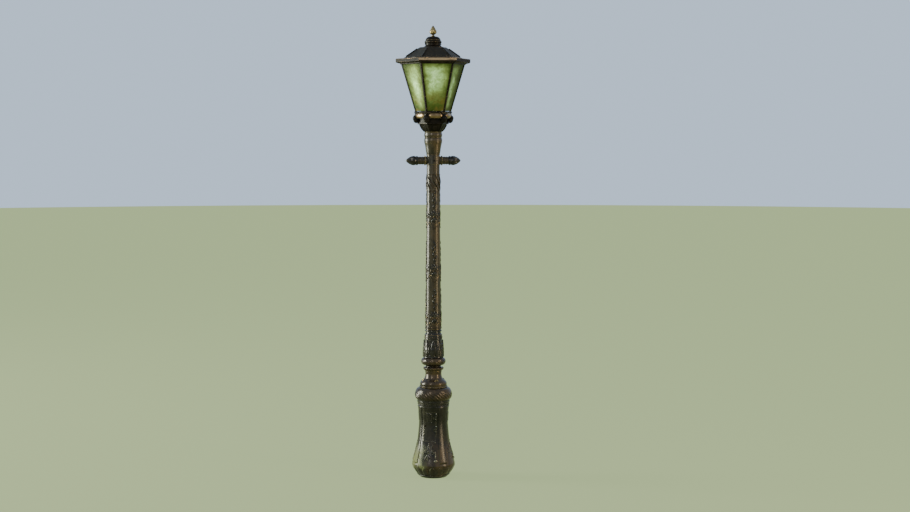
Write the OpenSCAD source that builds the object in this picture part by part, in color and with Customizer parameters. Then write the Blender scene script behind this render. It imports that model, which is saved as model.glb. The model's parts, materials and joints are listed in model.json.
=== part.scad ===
// Street lamp post: a hollow cast-iron column on a bulbous pedestal with an access door,
// a ladder bar below the capital, and a six-sided lantern with green glass, a deep cornice,
// a low hipped roof, a vent with a domed cap, and a brass finial.
// +Z is up, the ground is z = 0, and the lantern's front pane faces -Y.

/* [Pedestal] */
// Height of the pedestal casting
pedestal_h = 695; // [695:695]
// Wall thickness of the pedestal casting
pedestal_wall = 12; // [10:1:14]
// Radius of the circle that the four anchor bolts stand on
anchor_circle_r = 100; // [96:1:102]
// Radius of each anchor bolt hole
anchor_hole_r = 11; // [9:0.5:13]

/* [Access door] */
// Direction that the access door faces, from +X
door_facing = -114; // [-180:1:180]
// Width of the access door
door_w = 108; // [100:1:110]
// Height of the door's lower edge above the ground
door_low = 338; // [330:1:345]
// Height of the door's upper edge above the ground
door_high = 592; // [560:1:600]
// Gap all round the door
door_gap = 2.5; // [2.5:0.1:3.5]

/* [Column] */
// Radius of the shaft just above its sleeve
shaft_low_r = 70; // [68:0.5:73]
// Radius of the shaft just below the capital
shaft_high_r = 58; // [56:0.5:60]
// Radius of the cable way through the column
cable_way_r = 42; // [38:1:44]
// Height of the ladder bar's centre above the ground
ladder_bar_z = 2818; // [2780:1:2830]
// Half length of the ladder bar, to the tip of a knob
ladder_bar_reach = 245; // [230:1:260]

/* [Lantern] */
// Corner radius of the glazing at its foot
glazing_low_r = 162; // [160:1:165]
// Corner radius of the glazing at its head
glazing_high_r = 284; // [281:1:286]
// Height of the glazing
glazing_h = 410; // [405:1:415]
// Thickness of each glass pane
pane_t = 4.5; // [4:0.5:5]
// Width of each rib's leg on each side of its corner
rib_leg = 13; // [12:0.5:14]

/* [Hidden] */
$fn = 64;

// Levels of the stacked castings
torus_z = pedestal_h;
bell_z = torus_z + 108;
neck_z = bell_z + 152;
sleeve_z = neck_z + 118;
shaft_z = sleeve_z + 249;
capital_z = 2869;
cradle_z = capital_z + 203;
gallery_z = cradle_z + 72;
sill_z = gallery_z + 94;
glazing_z = sill_z + 12;
head_z = glazing_z + glazing_h;
cornice_z = head_z + 8;
roof_z = cornice_z + 44;
roof_h = 99;
vent_z = roof_z + roof_h;
collar_z = vent_z + 15;
dome_z = collar_z + 40;
finial_z = dome_z + 42;
spigot_r = 56;
spigot_gap = 0.25;

// Slopes of the glazing: of a face, of a corner line, and of a corner line within a face
face_slope = atan((glazing_high_r - glazing_low_r) * cos(30) / glazing_h);
face_len = glazing_h / cos(face_slope);
rib_slope = atan((glazing_high_r - glazing_low_r) / glazing_h);
edge_lean = atan((glazing_high_r - glazing_low_r) / 2 / face_len);
// Half the angle between two neighbouring faces' normals
face_turn = acos(pow(cos(face_slope), 2) / 2 + pow(sin(face_slope), 2)) / 2;
rib_t = 4;
rear_face = 90;

// Access door hinge and lock, in the door's own frame: x out of the door, y along it
door_t = 9;
hinge_x = 128;
hinge_y = door_w / 2 + 8;
knuckle_h = 22;
knuckle_r = 6;
hinge_pin_r = 3;
running_gap = 0.05;
hinge_heights = [435, 545];
hinge_arm_x = 106;
hinge_bore_low = hinge_heights[0] - 50;
hinge_bore_h = 230;
lock_y = -38;
lock_z = 470;
lock_r = 9;

// Glazed door's hinge, latch and frame, in its face's own frame
lantern_hinge_out = 8;
lantern_hinge_in = 1;
lantern_knuckle_r = 4;
lantern_pin_r = 2;
lantern_knuckle_h = 14;
lantern_hinge_heights = [75, 340];
door_frame_t = 5;
door_frame_lift = 0.6;
door_frame_in = 10;
door_frame_w = 15;
door_frame_end = 8;
button_z = 215;
button_in = 5;
button_pin_r = 2.5;

// Places inside the pedestal, in the door's frame
cable_x = -33;
cable_r = 5;
board_x = -75;
board_t = 15;

iron = "#2b2622";
bronze = "#5a4030";
gold = "#b08a3e";
green_glass = "#5f8a45";

// Points of a smooth curve through every point of p, with n steps from each point to the next
function smooth(p, n = 4) = [
    for (i = [0:len(p) - 2]) for (j = [0:n - 1]) curve_point(p, i, j / n), p[len(p) - 1]
];
function curve_point(p, i, t) =
    let (a = p[max(i - 1, 0)], b = p[i], c = p[i + 1], d = p[min(i + 2, len(p) - 1)])
    0.5 * (2 * b + (c - a) * t + (2 * a - 5 * b + 4 * c - d) * t * t
        + (3 * b - a - 3 * c + d) * t * t * t);

// The same outline read from its far end, moved by [dr, dz]
function back_along(p, dr, dz = 0) = [
    for (i = [len(p) - 1:-1:0]) [max(p[i][0] + dr, 0), p[i][1] + dz]
];

// Half of a round bead of radius r that stands out of a wall of radius wall_r at height z
function bead(wall_r, z, r, n = 6) = [
    for (i = [0:n]) [wall_r + r * sin(180 * i / n), z - r * cos(180 * i / n)]
];

// Half width of a lantern face at slope height v
function face_half(v) = glazing_low_r / 2 + v * tan(edge_lean);

// Outline of the pedestal, from the ground up
pedestal_line = concat(
    smooth([[120, 0], [138, 18], [162, 53], [183, 88], [191, 112], [187, 140], [168, 215],
        [152, 280], [141, 350], [133, 430], [129, 500], [133, 575], [139, 640]], 3),
    [[139, 662], [144.5, 668], [144.5, pedestal_h]]
);

module revolve(line) {
    rotate_extrude($fn = 96) polygon(line);
}

module hex_ring(line) {
    rotate_extrude($fn = 6) polygon(line);
}

// Six copies, one at each corner of the lantern
module at_corners() {
    for (i = [0:5]) rotate([0, 0, 60 * i]) children();
}

// A face's own frame: x out of the face, y along its foot, z up its slope
module on_face(facing) {
    rotate([0, 0, facing]) translate([glazing_low_r * cos(30), 0, glazing_z])
        rotate([0, face_slope, 0]) children();
}

// A flat plate in a face's frame, from depth in to depth out, of outline [y, z]
module face_plate(low, high, outline) {
    translate([low, 0, 0]) rotate([90, 0, 90]) linear_extrude(high - low) polygon(outline);
}

// Trapezium that lies side inside the face's corner lines and end inside its ends
function face_outline(side, end) = [
    [-face_half(end) + side, end], [face_half(end) - side, end],
    [face_half(face_len - end) - side, face_len - end],
    [-face_half(face_len - end) + side, face_len - end]
];

// The lantern door's hinge line: x out of the face, z along the corner line
module on_hinge_line(v) {
    on_face(rear_face) translate([lantern_hinge_out, face_half(0) - lantern_hinge_in, 0])
        rotate([-edge_lean, 0, 0]) translate([0, 0, v]) children();
}

module in_door_frame() {
    rotate([0, 0, door_facing]) children();
}

// Straight-sided block that the doorway and the door are cut with
module door_block(gap) {
    in_door_frame() translate([60, -door_w / 2 - gap, door_low - gap])
        cube([120, door_w + 2 * gap, door_high - door_low + 2 * gap]);
}

module hinge_bore() {
    in_door_frame() translate([hinge_x, hinge_y, hinge_bore_low])
        cylinder(r = hinge_pin_r + running_gap, h = hinge_bore_h);
}

// ---- Column ----

module pedestal() {
    flange_t = 18;
    flange_bore = 60;
    flange_r = pedestal_line[0][0] - pedestal_wall / 2;
    color(iron) difference() {
        union() {
            difference() {
                revolve(concat(pedestal_line, back_along(pedestal_line, -pedestal_wall)));
                door_block(door_gap);
            }
            revolve([[flange_bore, 0], [flange_r, 0], [flange_r + flange_t, flange_t],
                [flange_bore, flange_t]]);
            for (z = hinge_heights) for (side = [-1, 1]) in_door_frame()
                translate([0, 0, z + side * (knuckle_h + 1) - knuckle_h / 2]) {
                    translate([hinge_arm_x, hinge_y - 3, 0])
                        cube([hinge_x - hinge_arm_x, 7, knuckle_h]);
                    translate([hinge_x, hinge_y, 0]) cylinder(r = knuckle_r, h = knuckle_h);
                }
        }
        for (a = [45:90:315]) in_door_frame() rotate([0, 0, a])
            translate([anchor_circle_r, 0, -1]) cylinder(r = anchor_hole_r, h = flange_t + 2);
        hinge_bore();
    }
}

module pedestal_torus() {
    line = smooth([[146, 0], [158, 12], [164, 28], [166, 48], [163, 66], [157, 82], [150, 94],
        [142, 102], [130, 108]], 3);
    color(iron) translate([0, 0, torus_z])
        revolve(concat([[118, 0]], line, [[spigot_r + spigot_gap, 108],
            [spigot_r + spigot_gap, 92], [112, 82], [118, 74]]));
}

module bell() {
    line = concat([[124, 0], [126, 3], [126, 9], [122, 13], [118, 16]],
        smooth([[118, 20], [120, 31], [117, 45], [107, 58], [91, 70], [80, 82], [75, 97],
            [71.5, 118], [73, 138], [75, neck_z - bell_z]], 3));
    color(iron) translate([0, 0, bell_z]) revolve(concat([[spigot_r + spigot_gap, 0]], line,
        [[spigot_r + spigot_gap, neck_z - bell_z]]));
}

module neck_ring() {
    bulge_r = 35;
    line = concat([[76, 0], [85, 6], [88, 22], [84, 28], [68, 31], [67, 40], [72, 44]],
        bead(75, 81, bulge_r, 12), [[76, sleeve_z - neck_z]]);
    color(bronze) translate([0, 0, neck_z]) revolve(concat([[spigot_r + spigot_gap, 0]], line,
        [[spigot_r + spigot_gap, sleeve_z - neck_z]]));
}

module shaft_sleeve() {
    flutes = 12;
    line = concat([[92, 0], [91, 8], [90, 45], [89, 58], [89, 76], [86, 86], [85, 118],
        [82, 128], [81, 152], [78, 156], [78, 162], [80, 165], [78, 196], [74, 206], [68, 214],
        [67, 227]], bead(69, 236, 7), [[spigot_r + spigot_gap, shaft_z - sleeve_z]]);
    color(iron) translate([0, 0, sleeve_z]) difference() {
        revolve(concat([[spigot_r + spigot_gap, 0]], line));
        for (i = [0:flutes - 1]) rotate([0, 0, i * 360 / flutes])
            translate([97, 0, 14]) cylinder(r = 11, h = 104);
    }
}

module shaft() {
    foot_z = bell_z - 20;
    swell = shaft_low_r - shaft_high_r;
    color(iron) revolve(concat(
        [[cable_way_r, foot_z], [spigot_r, foot_z], [spigot_r, shaft_z]],
        smooth([for (t = [0:0.25:1]) [shaft_low_r - swell * t * (1 + 0.3 * sin(180 * t)),
            shaft_z + t * (capital_z - shaft_z)]], 3),
        [[cable_way_r, capital_z]]
    ));
}

module capital() {
    line = concat([[58, 0], [60, 8]], smooth([[63, 24], [67, 50], [71, 76], [76, 100]], 3),
        smooth([[78, 108], [80, 122], [79.5, 138], [77, 146]], 3), [[74.5, 149], [74.5, 155]],
        smooth([[77, 158], [80, 170], [80, 180], [78, 190]], 3), [[76, 194], [78, 203]]);
    color(bronze) translate([0, 0, capital_z])
        revolve(concat([[cable_way_r, 0]], line, [[cable_way_r, 203]]));
}

// Half of a ladder bar knob's outline, from its foot to its pointed tip
knob_l = 108;
knob_line = concat([[0, 0], [38, 0], [41, 4], [41, 12], [38, 16], [37, 20]],
    smooth([[38, 22], [42, 32], [42, 46], [35, 68], [22, 89], [10, 102], [0, 108]], 4));

module ladder_bar() {
    arm_r = 34;
    collar_r = 40;
    band_r = 65;
    knob_at = ladder_bar_reach - knob_l;
    color(iron) translate([0, 0, ladder_bar_z]) difference() {
        union() {
            revolve([[0, -37], [band_r - 3, -37], [band_r, -33], [band_r, 33], [band_r - 3, 37],
                [0, 37]]);
            rotate([0, 90, 0]) cylinder(r = arm_r, h = 2 * knob_at, center = true);
            for (side = [-1, 1]) translate([side * 74, 0, 0]) rotate([0, 90, 0])
                cylinder(r = collar_r, h = 12, center = true);
        }
        translate([0, 0, -60]) cylinder(r = shaft_high_r + 1.5, h = 120);
        for (a = [90, 270]) rotate([0, 0, a]) translate([50, 0, 0]) rotate([0, 90, 0])
            cylinder(r = 5, h = 40);
    }
}

module ladder_bar_knob(side) {
    color(iron) translate([side * (ladder_bar_reach - knob_l), 0, ladder_bar_z])
        rotate([0, side * 90, 0]) rotate_extrude($fn = 64) polygon(knob_line);
}

// Two grub screws that clamp the ladder bar's band to the shaft
module ladder_bar_screws() {
    color("dimgray") for (a = [90, 270]) rotate([0, 0, a])
        translate([shaft_high_r + 1, 0, ladder_bar_z]) rotate([0, 90, 0]) {
            cylinder(r = 4.9, h = 6.2);
            translate([0, 0, 6.2]) cylinder(r = 8, h = 6, $fn = 6);
        }
}

// ---- Lantern body ----

module lantern_cradle() {
    line = smooth([[79, 0], [86, 8], [102, 26], [114, 48], [121, 62]], 3);
    color(iron) translate([0, 0, cradle_z]) difference() {
        hex_ring(concat([[0, 0]], line, [[142, 68], [142, 72], [112, 72], [102, 48], [82, 18],
            [0, 10]]));
        translate([0, 0, -1]) cylinder(r = cable_way_r, h = 30);
    }
}

gallery_line = [[112, 0], [138, 0], [138, 46], [160, 46], [167, 54], [168, 68], [165, 82],
    [160, 88], [160, 94], [150, 94], [150, 90], [132, 90], [132, 14], [112, 10]];

module gallery_ring() {
    color(bronze) translate([0, 0, gallery_z]) hex_ring(gallery_line);
}

// Half balls against the gallery ring's corners, tucked under its flare
module gallery_bosses() {
    boss_r = 27;
    seat_r = 139;
    under_flare = 45.8;
    color(gold) translate([0, 0, gallery_z]) at_corners() intersection() {
        translate([seat_r + 11, 0, 30]) sphere(r = boss_r);
        translate([seat_r, -boss_r - 1, under_flare - 2 * boss_r])
            cube([2 * boss_r, 2 * boss_r + 2, 2 * boss_r]);
    }
}

module lantern_tray() {
    color("silver") translate([0, 0, sill_z - 4]) difference() {
        cylinder(r = 149, h = 4, $fn = 6);
        translate([0, 0, -1]) cylinder(r = 7, h = 6);
        in_door_frame() translate([cable_x, 0, -1]) cylinder(r = cable_r + 1, h = 6);
    }
}

module sill_ring() {
    color(iron) translate([0, 0, sill_z])
        hex_ring([[134, 0], [168, 0], [170, 4], [166, 12], [134, 12]]);
}

// Rib section, square to its corner line: two legs on the panes and a web between them
function rib_half() =
    let (s = sin(face_turn), c = cos(face_turn), web = 3, u = (web + rib_t * s) / c)
    [[-rib_leg * s, rib_leg * c], [-rib_leg * s - rib_t * c, rib_leg * c - rib_t * s],
        [-rib_t * c - s * u, web], [-20, web]];

module rib_set() {
    half = rib_half();
    color(iron) at_corners() intersection() {
        translate([glazing_low_r, 0, glazing_z]) rotate([0, rib_slope, 0])
            translate([0, 0, -40]) linear_extrude(glazing_h + 90)
                polygon(concat([[0, 0]], half,
                    [for (i = [len(half) - 1:-1:0]) [half[i][0], -half[i][1]]]));
        translate([0, -60, glazing_z]) cube([400, 120, glazing_h]);
    }
}

module head_ring() {
    color(iron) translate([0, 0, head_z]) hex_ring([[256, 0], [290, 0], [294, 3], [294, 8],
        [256, 8]]);
}

// Strips across the foot and head of the doorway that the glazed door closes against
module door_rest_strips() {
    strip = 14;
    low = [for (v = [0.8, strip]) face_half(v) - 9.5];
    high = [for (v = [face_len - strip, face_len - 3]) face_half(v) - 9.5];
    color(iron) on_face(rear_face) {
        face_plate(-rib_t - 4, -rib_t - 0.2, [[-low[0], 0.8], [low[0], 0.8], [low[1], strip],
            [-low[1], strip]]);
        face_plate(-rib_t - 4, -rib_t - 0.2, [[-high[0], face_len - strip],
            [high[0], face_len - strip], [high[1], face_len - 3], [-high[1], face_len - 3]]);
    }
}

module glass_pane(facing) {
    color(green_glass, 0.6) on_face(facing)
        face_plate(-rib_t - 0.2 - pane_t, -rib_t - 0.2, face_outline(9.4, 3));
}

module cornice() {
    color(bronze) translate([0, 0, cornice_z])
        hex_ring([[266, 0], [306, 0], [308, 3], [319, 4], [326, 8], [326, 11], [332, 13],
            [332, 37], [328, 41], [318, 44], [238, 44], [238, 39], [319, 39], [319, 16],
            [310, 10], [266, 8]]);
}

roof_line = [[256, 0], [252, 8], [240, 18], [190, 51], [140, 86], [116, roof_h]];

module roof() {
    color(iron) translate([0, 0, roof_z])
        hex_ring(concat(roof_line, [[102, roof_h], [102, 94], [134, 83], [184, 48], [234, 15],
            [246, 5], [248, 0]]));
}

// Rolled bead along each hip of the roof
module roof_hips() {
    run = [roof_line[2][0] - roof_line[4][0], roof_line[4][1] - roof_line[2][1]];
    color(bronze) difference() {
        translate([0, 0, roof_z]) at_corners()
            translate([roof_line[2][0], 0, roof_line[2][1]])
                rotate([0, -atan(run[0] / run[1]), 0]) cylinder(r = 6, h = norm(run));
        translate([0, 0, roof_z]) hex_ring(concat([[0, 0]], roof_line, [[0, roof_h]]));
    }
}

// ---- Vent, cap and finial ----

module vent_neck() {
    line = smooth([[101, 0], [88, 3], [75, 9], [68, 15]], 3);
    holes = 12;
    color(iron) translate([0, 0, vent_z]) difference() {
        revolve(concat(line, [[60, 15], [60, 55], [56, 55], [56, 12], [68, 5], [88, 0]]));
        for (i = [0:holes - 1]) rotate([0, 0, i * 360 / holes]) translate([45, 0, 42])
            rotate([0, 90, 0]) cylinder(r = 5, h = 30);
    }
}

// Skirt round the vent with a scalloped lower edge
module vent_collar() {
    lobes = 16;
    color(bronze) translate([0, 0, collar_z]) difference() {
        revolve([[61, 0], [69.5, 0], [68, 5], [68, 19], [75, 24], [76, 30], [75, 36],
            [70, 40], [60.5, 40], [60.5, 5]]);
        for (i = [0:lobes - 1]) rotate([0, 0, i * 360 / lobes]) translate([55, 0, -3])
            rotate([0, 90, 0]) cylinder(r = 6.5, h = 30);
        for (a = [0:90:270]) rotate([0, 0, a]) translate([55, 0, 13])
            rotate([0, 90, 0]) cylinder(r = 3, h = 30);
    }
}

module collar_knobs() {
    color(gold) translate([0, 0, collar_z + 13]) for (a = [0:90:270]) rotate([0, 0, a])
        translate([60.2, 0, 0]) rotate([0, 90, 0])
            rotate_extrude($fn = 32) polygon(concat([[0, 0], [2.9, 0], [2.9, 8.3]],
                smooth([[5, 8.5], [6, 10.5], [4, 13.5], [0, 15]], 3)));
}

module vent_dome() {
    line = concat([[59, 0], [68, 0], [69, 4], [66, 7]],
        smooth([[65.5, 8], [64, 16], [58, 26], [46, 35], [30, 40], [14, 42]], 3));
    color(iron) translate([0, 0, dome_z]) revolve(concat(line,
        [[5.3, 42], [5.3, 38], [28, 36], [43, 31], [53, 23], [59, 14]]));
}

module finial() {
    line = concat([[16, 0], [16, 4], [9, 7], [9, 11]],
        smooth([[15, 14], [25, 24], [31, 37], [29, 50], [21, 63], [16, 74], [11, 80]], 4),
        smooth([[8, 82], [9, 86], [6, 90], [0, 92]], 3));
    color(gold) translate([0, 0, finial_z]) difference() {
        revolve(concat([[0, 0]], line));
        translate([0, 0, -1]) cylinder(r = 5.1, h = 24);
    }
}

module roof_rod() {
    color("dimgray") translate([0, 0, roof_z - 26]) {
        cylinder(r = 5, h = finial_z - roof_z + 46);
        cylinder(r = 9, h = 8, $fn = 6);
    }
}

module roof_crossbar() {
    color("dimgray") translate([0, 0, roof_z - 10]) difference() {
        translate([-264, -12, 0]) cube([528, 24, 5]);
        translate([0, 0, -1]) cylinder(r = 5.1, h = 7);
    }
}

module reflector() {
    color("white") translate([0, 0, roof_z - 60]) revolve([[196, 0], [198, 0], [120, 30],
        [60, 48], [5.3, 50], [5.3, 48], [59, 46], [119, 28]]);
}

// ---- Lamp and wiring ----

module lamp_stem() {
    color("dimgray") translate([0, 0, sill_z]) difference() {
        union() {
            cylinder(r = 22, h = 4);
            cylinder(r = 8, h = 62);
        }
        translate([0, 0, -1]) cylinder(r = 5, h = 64);
    }
}

module lamp_holder() {
    color("white") translate([0, 0, sill_z + 62]) difference() {
        revolve([[0, 0], [14, 0], [20, 6], [23, 14], [23, 44], [20, 46], [0, 46]]);
        translate([0, 0, 14]) cylinder(r = 13.6, h = 40);
    }
}

module lamp_cap() {
    color("silver") translate([0, 0, sill_z + 78]) cylinder(r = 13.3, h = 32);
}

module lamp_glass() {
    line = smooth([[16, 0], [20, 16], [38, 44], [44, 70], [40, 96], [24, 116], [0, 124]], 4);
    color("white") translate([0, 0, sill_z + 110])
        revolve(concat([[0, 0]], line));
}

module terminal_block() {
    color("ivory") in_door_frame() translate([cable_x - 30, -16, sill_z]) difference() {
        cube([38, 32, 22]);
        translate([30, 16, -1]) cylinder(r = cable_r + 0.2, h = 13);
    }
}

// The lead from the cut-out to the lantern, held inside the column
module supply_cable() {
    color("dimgray") in_door_frame() translate([cable_x, 0, 590])
        cylinder(r = cable_r, h = sill_z + 10 - 590);
}

module cable_gland() {
    color("black") in_door_frame() translate([cable_x, 0, 560])
        difference() {
            union() {
                cylinder(r = 13, h = 8, $fn = 6);
                translate([0, 0, 8]) cylinder(r = 10, h = 24);
            }
            translate([0, 0, -1]) cylinder(r = 3, h = 34);
            translate([0, 0, 28]) cylinder(r = cable_r + 0.1, h = 6);
        }
}

module backboard_rails() {
    color("gray") in_door_frame() for (y = [-30, 30]) translate([board_x - 4, y - 10, 18]) {
        cube([4, 20, 570]);
        translate([-18, 0, 0]) cube([22, 20, 4]);
    }
}

module backboard() {
    color("peru") in_door_frame() translate([board_x, -45, 332]) cube([board_t, 90, 250]);
}

module cutout_box() {
    color("gray") in_door_frame() translate([board_x + board_t, -40, 440]) difference() {
        cube([42, 80, 120]);
        translate([12, 24, 36]) cube([40, 32, 56]);
    }
}

module fuse_carrier() {
    color("firebrick") in_door_frame() translate([board_x + board_t + 14, -15, 477]) {
        cube([28, 30, 54]);
        translate([28, -5, -5]) cube([14, 40, 64]);
        translate([42, 5, 20]) cube([12, 20, 14]);
    }
}

module ballast() {
    color("lightgray") in_door_frame() translate([board_x + board_t, -30, 345])
        cube([48, 60, 85]);
}

module earth_stud() {
    color("gold") in_door_frame() translate([92, 24, 18]) {
        cylinder(r = 4, h = 32);
        cylinder(r = 8, h = 6, $fn = 6);
        translate([0, 0, 6]) cylinder(r = 10, h = 2);
        translate([0, 0, 14]) cylinder(r = 8, h = 6, $fn = 6);
    }
}

// ---- Access door ----

module base_door() {
    color(bronze) difference() {
        union() {
            intersection() {
                revolve(concat(pedestal_line, back_along(pedestal_line, -door_t)));
                door_block(0);
            }
            for (z = hinge_heights) in_door_frame() translate([0, 0, z - knuckle_h / 2]) {
                translate([hinge_x - knuckle_r, door_w / 2 - 18, 0]) cube([6, 26, knuckle_h]);
                translate([hinge_x, hinge_y, 0]) cylinder(r = knuckle_r, h = knuckle_h);
            }
        }
        hinge_bore();
        in_door_frame() translate([100, lock_y, lock_z]) rotate([0, 90, 0])
            cylinder(r = lock_r + running_gap, h = 60);
    }
}

module base_door_pin() {
    half = 1.5 * knuckle_h + 1;
    color("dimgray") for (z = hinge_heights) in_door_frame()
        translate([hinge_x, hinge_y, z - half]) {
            cylinder(r = hinge_pin_r, h = 2 * half);
            translate([0, 0, 2 * half]) cylinder(r = 5, h = 4);
        }
}

module lock_barrel() {
    key_r = 4;
    color("dimgray") in_door_frame() translate([92, lock_y, lock_z]) rotate([0, 90, 0])
        difference() {
            cylinder(r = lock_r, h = 36);
            translate([0, 0, 28]) cylinder(r = key_r, h = 10, $fn = 3);
        }
}

module lock_cam() {
    color("silver") in_door_frame() translate([88, lock_y - 7, lock_z - 7])
        cube([4, 14, 33]);
}

// ---- Glazed door ----

module lantern_hinge_feet() {
    foot_in = 4.5;
    color(iron) difference() {
        for (v = lantern_hinge_heights) for (side = [-1, 1])
            on_hinge_line(v + side * (lantern_knuckle_h + 0.6) - lantern_knuckle_h / 2) {
                cylinder(r = lantern_knuckle_r, h = lantern_knuckle_h);
                translate([-lantern_hinge_out, -foot_in, 0])
                    cube([lantern_hinge_out, foot_in + 1, lantern_knuckle_h]);
            }
        on_hinge_line(0) cylinder(r = lantern_pin_r + running_gap, h = face_len);
    }
}

module lantern_hinge_pins() {
    half = 1.5 * lantern_knuckle_h + 0.6;
    color("dimgray") for (v = lantern_hinge_heights) on_hinge_line(v - half) {
        cylinder(r = lantern_pin_r, h = 2 * half);
        translate([0, 0, 2 * half]) cylinder(r = 3.5, h = 3);
    }
}

module lantern_door_frame() {
    color(iron) difference() {
        union() {
            on_face(rear_face) difference() {
                face_plate(door_frame_lift, door_frame_lift + door_frame_t,
                    face_outline(door_frame_in, door_frame_end));
                face_plate(0, 10, face_outline(door_frame_in + door_frame_w,
                    door_frame_end + door_frame_w));
            }
            for (v = lantern_hinge_heights) on_hinge_line(v - lantern_knuckle_h / 2) {
                cylinder(r = lantern_knuckle_r, h = lantern_knuckle_h);
                translate([-3, -18, 0]) cube([3, 18, lantern_knuckle_h]);
            }
        }
        on_hinge_line(0) cylinder(r = lantern_pin_r + running_gap, h = face_len);
    }
}

module lantern_door_glass() {
    color(green_glass, 0.6) on_face(rear_face)
        face_plate(door_frame_lift - pane_t + 0.5, door_frame_lift, face_outline(18, 16));
}

// Latch bar that turns across the glazed door's frame, stored clear of it
module turn_button() {
    color(gold) on_face(rear_face)
        translate([door_frame_lift + door_frame_t + 0.6, -face_half(button_z) + button_in, button_z])
            rotate([edge_lean, 0, 0]) difference() {
                translate([0, -4.2, -18]) cube([3, 8.4, 36]);
                translate([-1, 0, 0]) rotate([0, 90, 0])
                    cylinder(r = button_pin_r + running_gap, h = 6);
            }
}

module turn_button_pillar() {
    color("dimgray") on_face(rear_face)
        translate([0, -face_half(button_z) + button_in, button_z]) rotate([0, 90, 0]) {
            cylinder(r = 4, h = door_frame_lift + door_frame_t);
            cylinder(r = button_pin_r, h = 11);
            translate([0, 0, 9.8]) cylinder(r = 4, h = 2);
        }
}

pedestal();
pedestal_torus();
bell();
neck_ring();
shaft_sleeve();
shaft();
capital();
ladder_bar();
ladder_bar_knob(-1);  // ladder_bar_knob_left
ladder_bar_knob(1);  // ladder_bar_knob_right
ladder_bar_screws();
lantern_cradle();
gallery_ring();
gallery_bosses();
lantern_tray();
sill_ring();
rib_set();
head_ring();
door_rest_strips();
glass_pane(270);  // glass_front
glass_pane(210);  // glass_front_left
glass_pane(330);  // glass_front_right
glass_pane(150);  // glass_rear_left
glass_pane(30);  // glass_rear_right
cornice();
roof();
roof_hips();
vent_neck();
vent_collar();
collar_knobs();
vent_dome();
finial();
roof_rod();
roof_crossbar();
reflector();
lamp_stem();
lamp_holder();
lamp_cap();
lamp_glass();
terminal_block();
supply_cable();
cable_gland();
backboard_rails();
backboard();
cutout_box();
fuse_carrier();
ballast();
earth_stud();
base_door();
base_door_pin();
lock_barrel();
lock_cam();
lantern_hinge_feet();
lantern_hinge_pins();
lantern_door_frame();
lantern_door_glass();
turn_button();
turn_button_pillar();
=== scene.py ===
import json
import math

import bmesh
import bpy
from mathutils import Matrix, Vector
from mathutils.bvhtree import BVHTree


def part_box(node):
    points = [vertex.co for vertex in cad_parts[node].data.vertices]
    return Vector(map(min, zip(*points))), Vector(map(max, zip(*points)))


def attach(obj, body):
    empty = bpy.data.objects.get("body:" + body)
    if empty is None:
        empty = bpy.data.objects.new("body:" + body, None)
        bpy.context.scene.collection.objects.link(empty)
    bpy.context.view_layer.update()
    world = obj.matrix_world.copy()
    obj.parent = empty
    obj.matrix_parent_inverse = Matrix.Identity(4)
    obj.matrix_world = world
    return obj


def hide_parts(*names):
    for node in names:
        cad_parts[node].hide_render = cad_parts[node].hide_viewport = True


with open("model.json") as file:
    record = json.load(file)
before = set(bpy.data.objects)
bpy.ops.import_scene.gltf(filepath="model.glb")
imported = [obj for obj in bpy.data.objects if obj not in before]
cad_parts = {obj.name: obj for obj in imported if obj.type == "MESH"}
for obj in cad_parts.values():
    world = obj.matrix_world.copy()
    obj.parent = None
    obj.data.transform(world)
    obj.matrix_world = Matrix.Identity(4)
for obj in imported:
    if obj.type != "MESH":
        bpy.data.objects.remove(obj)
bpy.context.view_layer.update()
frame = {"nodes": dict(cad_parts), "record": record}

nodes = frame["nodes"]
BASE = "post"
DOOR_AZ = -114        # the way the access door faces, in degrees
UP = Vector((0, 0, 1))
REACH = 0.6           # rays at a skin start this far out, beyond every node
OFF_SEAM = 11.3       # an azimuth whose rays miss the edges between facets
SINK = 0.002          # how deep an ornament's back lies in its skin
SHAFT_HOLE = 0.0566   # radius of the hole that the shaft's foot stands in
NO_HOLE = 0.0004      # radius left open at the axis of a solid turned piece


def level(azimuth):
    """The level direction that looks towards azimuth, in degrees."""
    a = math.radians(azimuth)
    return Vector((math.cos(a), math.sin(a), 0))


# ---- Camera, light and floor ----

def add_camera():
    """The viewpoint: 14.6 m off at 3.05 m up, a little left of the front pane."""
    distance, height, azimuth = 14.6, 3.05, math.radians(-98)
    pitch, heading = math.radians(90 - 4.22), math.radians(-8.755)
    data = bpy.data.cameras.new("camera")
    data.lens = 65.3
    data.sensor_width = 36
    camera = bpy.data.objects.new("camera", data)
    camera.location = (distance * math.cos(azimuth), distance * math.sin(azimuth), height)
    camera.rotation_euler = (pitch, 0, heading)
    bpy.context.collection.objects.link(camera)
    bpy.context.scene.camera = camera


def add_area(name, place, aim, size, power, tint):
    """A rectangular soft light at place that looks at aim."""
    data = bpy.data.lights.new(name, "AREA")
    data.shape = "RECTANGLE"
    data.size, data.size_y = size
    data.energy = power
    data.color = tint
    lamp = bpy.data.objects.new(name, data)
    lamp.location = place
    lamp.rotation_euler = (Vector(aim) - Vector(place)).to_track_quat("-Z", "Y").to_euler()
    lamp.visible_camera = False
    bpy.context.collection.objects.link(lamp)


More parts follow.
